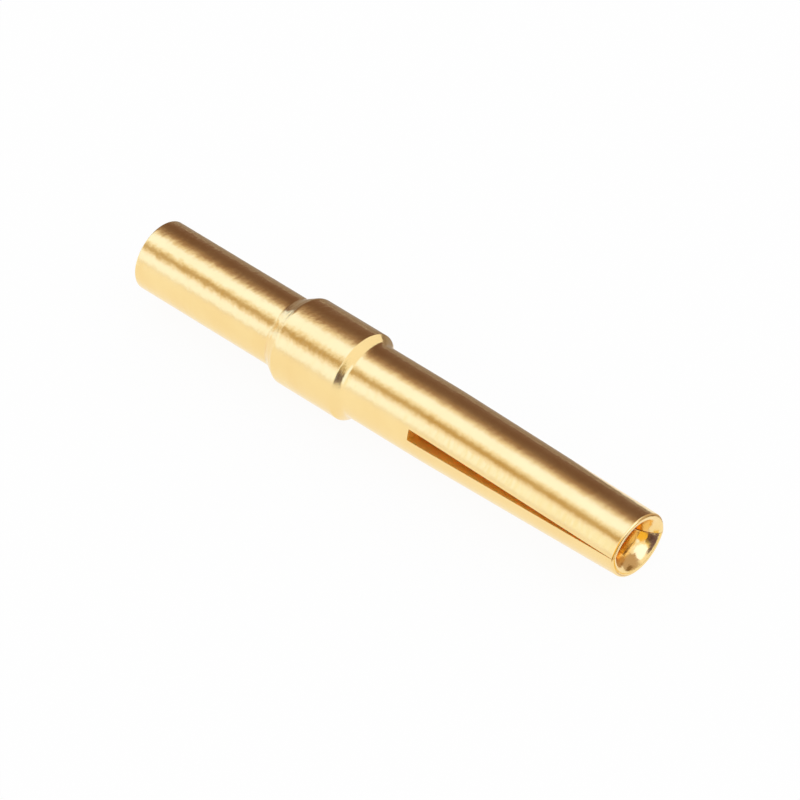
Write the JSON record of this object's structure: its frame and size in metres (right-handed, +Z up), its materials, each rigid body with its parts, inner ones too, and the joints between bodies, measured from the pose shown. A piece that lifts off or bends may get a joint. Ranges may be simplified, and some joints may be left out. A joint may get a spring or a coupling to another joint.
{
  "type": "crimp socket contact",
  "caption": "Turned gold-plated contact with a hollow crimp barrel, a retention collar and a slit socket whose tines grip a round pin.",
  "frame": {"origin": "on the contact's axis, at the middle of the retention collar", "axes": "+X along the axis towards the mating mouth, +Z up as the contact lies on a table"},
  "size_m": [0.0165, 0.0024, 0.0024],
  "materials": {
    "gold_plating": "bright gold plating over fine turning marks"
  },
  "bodies": {
    "root": {"socket_contact": "gold_plating"}
  },
  "joints": []
}
